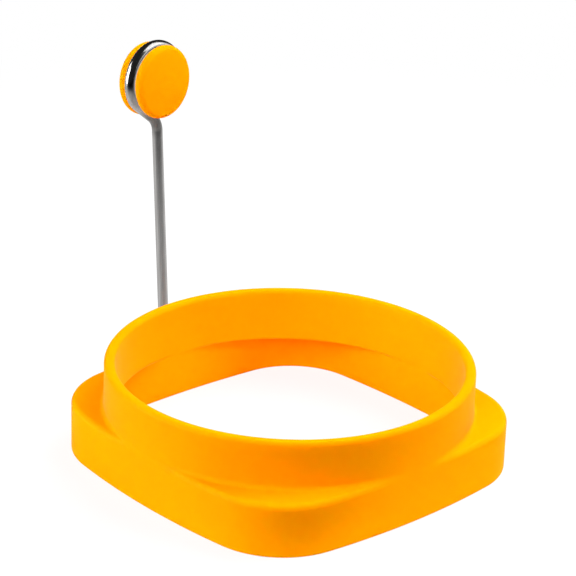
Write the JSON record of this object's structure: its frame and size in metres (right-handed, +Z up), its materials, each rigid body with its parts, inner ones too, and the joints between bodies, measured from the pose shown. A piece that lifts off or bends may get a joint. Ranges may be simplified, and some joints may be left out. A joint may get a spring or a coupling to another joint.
{
  "type": "egg ring",
  "caption": "Reversible silicone egg ring, round well over a rounded square well, with a folding wire handle and a round knob.",
  "frame": {"origin": "on the round well's axis, in the mid-plane between the two resting faces, which the handle's hinge also lies in", "axes": "+Z up along the round well's axis, from the square side that the ring stands on to the round rim; +Y from the axis to the hinge lug and the handle; +X completes the right hand, along the hinge's axis"},
  "size_m": [0.0952, 0.1081, 0.0976],
  "materials": {
    "silicone": "smooth yellow-orange silicone with a soft satin sheen",
    "steel_wire": "polished stainless wire"
  },
  "bodies": {
    "ring": {"ring_body": "silicone"},
    "handle": {"wire_handle": "steel_wire", "knob_front_disc": "silicone", "knob_rear_disc": "silicone"}
  },
  "joints": [
    {"name": "handle_swing", "type": "hinge", "parent": "ring", "child": "handle", "pos_m": [0, 0.0506, 0], "axis": [-1, 0, 0], "range_deg": [-10, 182]}
  ]
}
